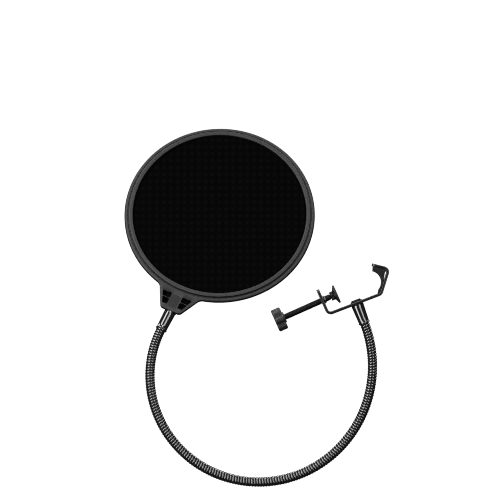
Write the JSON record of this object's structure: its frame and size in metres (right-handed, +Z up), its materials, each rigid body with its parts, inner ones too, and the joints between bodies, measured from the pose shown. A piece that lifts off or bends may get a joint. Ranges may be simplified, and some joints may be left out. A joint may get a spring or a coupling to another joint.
{
  "type": "pop filter",
  "caption": "Round double-mesh screen in a snap-together hoop, on a bendable metal gooseneck, with a screw clamp that grips a stand's tube.",
  "frame": {"origin": "axis of the clamp's saddle, the centre of the gripped tube, at the middle of the clamp's width", "axes": "+Y along the gripped tube and away from the side that the screen faces, +Z up, +X from the knob towards the clamp's hook"},
  "size_m": [0.2143, 0.1012, 0.2903],
  "materials": {
    "black_steel": "satin black coating on bent steel strip",
    "dark_hardware": "black oxide on turned steel",
    "gloss_ferrule": "gloss black lacquer on turned steel",
    "gooseneck_wire": "black coated, closely wound spring wire",
    "saddle_pad": "moulded, fine grain",
    "foot_pad": "soft black",
    "knob_plastic": "moulded, fine grain",
    "hoop_plastic": "moulded charcoal, fine grain",
    "nylon_mesh": "tight black knitted nylon"
  },
  "bodies": {
    "clamp": {"clamp_bracket": "black_steel", "saddle_pad": "saddle_pad", "ferrule_screw": "dark_hardware", "toothed_washer": "dark_hardware", "lower_ferrule": "gloss_ferrule", "gooseneck_link_00": "gooseneck_wire"},
    "foot": {"swivel_foot": "black_steel", "foot_pad": "foot_pad"},
    "screw": {"thumb_screw": "dark_hardware", "knob": "knob_plastic"},
    "link_01": {"gooseneck_link_01": "gooseneck_wire"},
    "link_02": {"gooseneck_link_02": "gooseneck_wire"},
    "link_03": {"gooseneck_link_03": "gooseneck_wire"},
    "link_04": {"gooseneck_link_04": "gooseneck_wire"},
    "link_05": {"gooseneck_link_05": "gooseneck_wire"},
    "link_06": {"gooseneck_link_06": "gooseneck_wire"},
    "link_07": {"gooseneck_link_07": "gooseneck_wire"},
    "link_08": {"gooseneck_link_08": "gooseneck_wire"},
    "link_09": {"gooseneck_link_09": "gooseneck_wire"},
    "link_10": {"gooseneck_link_10": "gooseneck_wire"},
    "link_11": {"gooseneck_link_11": "gooseneck_wire"},
    "link_12": {"gooseneck_link_12": "gooseneck_wire"},
    "link_13": {"gooseneck_link_13": "gooseneck_wire"},
    "link_14": {"gooseneck_link_14": "gooseneck_wire"},
    "link_15": {"gooseneck_link_15": "gooseneck_wire"},
    "head": {"gooseneck_link_16": "gooseneck_wire", "upper_ferrule": "gloss_ferrule", "outer_hoop": "hoop_plastic", "front_hoop": "hoop_plastic", "rear_hoop": "hoop_plastic", "front_mesh": "nylon_mesh", "rear_mesh": "nylon_mesh"}
  },
  "joints": [
    {"name": "foot_travel", "type": "slide", "parent": "clamp", "child": "foot", "axis": [0.9135, 0, 0.4067], "range_m": [-0.0031, 0.0281]},
    {"name": "screw_turn", "type": "hinge", "parent": "foot", "child": "screw", "pos_m": [-0.03833, 0, -0.01461], "axis": [0.9135, 0, 0.4067], "range_deg": [-1350, 12600]},
    {"name": "neck_bend_01", "type": "hinge", "parent": "clamp", "child": "link_01", "pos_m": [-0.00026, 0, -0.04368], "axis": [0, 1, 0], "range_deg": [-25, 5]},
    {"name": "neck_bend_02", "type": "hinge", "parent": "link_01", "child": "link_02", "pos_m": [0.00276, 0, -0.06595], "axis": [0, 1, 0], "range_deg": [-25, 5]},
    {"name": "neck_swing_03", "type": "hinge", "parent": "link_02", "child": "link_03", "pos_m": [0.00054, 0, -0.0883], "axis": [-0.9766, 0, 0.2153], "range_deg": [-20, 20]},
    {"name": "neck_bend_04", "type": "hinge", "parent": "link_03", "child": "link_04", "pos_m": [-0.00685, 0, -0.10952], "axis": [0, 1, 0], "range_deg": [-25, 5]},
    {"name": "neck_bend_05", "type": "hinge", "parent": "link_04", "child": "link_05", "pos_m": [-0.01904, 0, -0.1284], "axis": [0, 1, 0], "range_deg": [-25, 5]},
    {"name": "neck_bend_06", "type": "hinge", "parent": "link_05", "child": "link_06", "pos_m": [-0.03538, 0, -0.14381], "axis": [0, 1, 0], "range_deg": [-25, 5]},
    {"name": "neck_swing_07", "type": "hinge", "parent": "link_06", "child": "link_07", "pos_m": [-0.05496, 0, -0.15484], "axis": [-0.3805, 0, 0.9248], "range_deg": [-20, 20]},
    {"name": "neck_bend_08", "type": "hinge", "parent": "link_07", "child": "link_08", "pos_m": [-0.07663, 0, -0.16078], "axis": [0, 1, 0], "range_deg": [-25, 5]},
    {"name": "neck_bend_09", "type": "hinge", "parent": "link_08", "child": "link_09", "pos_m": [-0.09909, 0, -0.16123], "axis": [0, 1, 0], "range_deg": [-25, 5]},
    {"name": "neck_swing_10", "type": "hinge", "parent": "link_09", "child": "link_10", "pos_m": [-0.12097, 0, -0.15609], "axis": [0.3493, 0, 0.937], "range_deg": [-20, 20]},
    {"name": "neck_bend_11", "type": "hinge", "parent": "link_10", "child": "link_11", "pos_m": [-0.14086, 0, -0.14565], "axis": [0, 1, 0], "range_deg": [-25, 5]},
    {"name": "neck_bend_12", "type": "hinge", "parent": "link_11", "child": "link_12", "pos_m": [-0.15749, 0, -0.13054], "axis": [-0.1609, 0.971, -0.1769], "range_deg": [-25, 5]},
    {"name": "neck_bend_13", "type": "hinge", "parent": "link_12", "child": "link_13", "pos_m": [-0.1697, 0.0014, -0.11173], "axis": [-0.22, 0.9518, -0.2139], "range_deg": [-25, 5]},
    {"name": "neck_swing_14", "type": "hinge", "parent": "link_13", "child": "link_14", "pos_m": [-0.17661, 0.00456, -0.09058], "axis": [0.9498, 0.2867, 0.1253], "range_deg": [-20, 20]},
    {"name": "neck_bend_15", "type": "hinge", "parent": "link_14", "child": "link_15", "pos_m": [-0.1778, 0.00944, -0.06868], "axis": [-0.3118, 0.9237, -0.2228], "range_deg": [-25, 5]},
    {"name": "neck_bend_16", "type": "hinge", "parent": "link_15", "child": "head", "pos_m": [-0.17332, 0.01602, -0.04767], "axis": [-0.3872, 0.9002, -0.1994], "range_deg": [-25, 5]}
  ],
  "couplings": [
    {"joint": "foot_travel", "follows": "screw_turn", "m_per_rad": 0.00012732}
  ]
}
